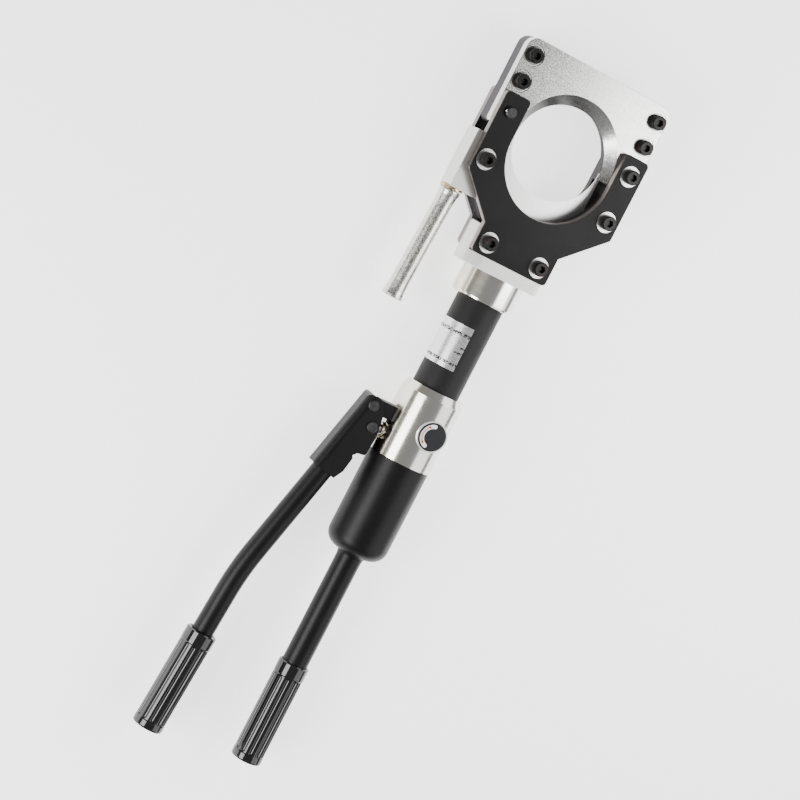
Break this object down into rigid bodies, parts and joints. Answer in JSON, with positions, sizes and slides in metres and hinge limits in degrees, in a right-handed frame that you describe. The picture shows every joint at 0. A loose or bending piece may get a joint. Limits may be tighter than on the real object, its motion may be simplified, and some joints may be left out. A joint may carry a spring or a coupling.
{
  "type": "hydraulic cable cutter",
  "caption": "Hand-pumped hydraulic cable cutter with a hinged gate jaw, a ram-driven moving blade, a swivelling head, a side handle and a pump lever beside a ribbed grip.",
  "frame": {"origin": "middle of the ground flat on the back of the neck block, the face that the tool lies on; the tool's axis is 29.3 mm above it", "axes": "+Y runs along the tool towards the cutting head, +Z comes out of the front face of the head, +X points right when the front is seen"},
  "size_m": [0.1878, 0.6916, 0.0605],
  "materials": {
    "black_oxide": "black oxide steel with ground edges",
    "ground_steel": "fine ground steel",
    "dark_steel": "grey oxide steel",
    "blade_steel": "ground hardened steel",
    "blasted_steel": "bead blasted and plated",
    "nickel": "polished nickel plate",
    "powder_coat": "satin black powder coat",
    "grip_plastic": "gloss black moulded plastic",
    "screw_steel": "black cap screw steel",
    "cast_metal": "cast, lightly grained",
    "brass": "plain brass",
    "foil": "printed foil",
    "rubber": "nitrile rubber",
    "chrome": "hard chrome",
    "knob_plastic": "satin black",
    "pin_steel": "dark phosphated steel"
  },
  "bodies": {
    "pump": {"valve_body": "nickel", "cylinder_tube": "powder_coat", "cylinder_gland": "brass", "cylinder_label": "foil", "reservoir_shell": "powder_coat", "handle_tube": "powder_coat", "fixed_grip": "grip_plastic", "oil_bladder": "rubber", "fulcrum_lug": "pin_steel", "plunger_gland": "brass", "knob_ring": "nickel", "relief_cartridge": "brass", "return_spring": "ground_steel"},
    "head": {"front_side_plate": "black_oxide", "rear_side_plate": "black_oxide", "left_side_block": "blasted_steel", "right_side_block": "blasted_steel", "front_guides": "dark_steel", "rear_guides": "dark_steel", "side_guides": "dark_steel", "neck_block": "blasted_steel", "collar": "nickel", "swivel_ring": "ground_steel", "hinge_bolt": "screw_steel", "side_handle": "cast_metal", "plate_screws": "screw_steel", "handle_washer": "brass"},
    "gate": {"fixed_blade": "ground_steel", "gate_spacers": "dark_steel", "gate_backing_plate": "dark_steel", "gate_screws": "screw_steel"},
    "latch": {"latch_pin": "pin_steel", "latch_knob": "pin_steel", "latch_ball": "chrome"},
    "blade_ram": {"moving_blade": "blade_steel", "ram": "chrome", "piston_seal": "rubber", "blade_pin": "ground_steel"},
    "lever": {"lever_fork": "powder_coat", "lever_tube": "powder_coat", "lever_grip": "grip_plastic", "fulcrum_pin": "pin_steel", "plunger_pin": "pin_steel", "pin_clips": "pin_steel"},
    "plunger": {"pump_plunger": "chrome"},
    "release": {"release_knob": "knob_plastic"},
    "delivery_valve": {"delivery_ball": "chrome"},
    "suction_valve": {"suction_ball": "chrome"}
  },
  "joints": [
    {"name": "head_swivel", "type": "hinge", "parent": "pump", "child": "head", "pos_m": [0, -0.017, 0.0293], "axis": [0, 1, 0], "continuous": true},
    {"name": "blade_advance", "type": "slide", "parent": "head", "child": "blade_ram", "axis": [0, 1, 0], "range_m": [0, 0.086], "stiffness_N_per_m": 1000, "springref_m": -0.03, "deforming": ["return_spring"]},
    {"name": "gate_swing", "type": "hinge", "parent": "head", "child": "gate", "pos_m": [0.064, 0.126, 0.0293], "axis": [0, 0, -1], "range_deg": [0, 110]},
    {"name": "latch_pull", "type": "slide", "parent": "head", "child": "latch", "axis": [0, 0, -1], "range_m": [0, 0.038]},
    {"name": "lever_swing", "type": "hinge", "parent": "pump", "child": "lever", "pos_m": [-0.0497, -0.1534, 0.0293], "axis": [0, 0, -1], "range_deg": [-4, 55]},
    {"name": "plunger_stroke", "type": "slide", "parent": "pump", "child": "plunger", "axis": [-1, 0, 0], "range_m": [-0.0014, 0.0178]},
    {"name": "release_turn", "type": "hinge", "parent": "pump", "child": "release", "pos_m": [0.0055, -0.155, 0.0293], "axis": [0, 0, 1], "range_deg": [0, 180]},
    {"name": "delivery_lift", "type": "slide", "parent": "pump", "child": "delivery_valve", "axis": [0, 1, 0], "range_m": [0, 0.001], "stiffness_N_per_m": 50, "springref_m": -0.002},
    {"name": "suction_lift", "type": "slide", "parent": "pump", "child": "suction_valve", "axis": [0, 1, 0], "range_m": [0, 0.001], "stiffness_N_per_m": 50, "springref_m": -0.002}
  ],
  "couplings": [
    {"joint": "plunger_stroke", "follows": "lever_swing", "m_per_rad": 0.01827}
  ]
}
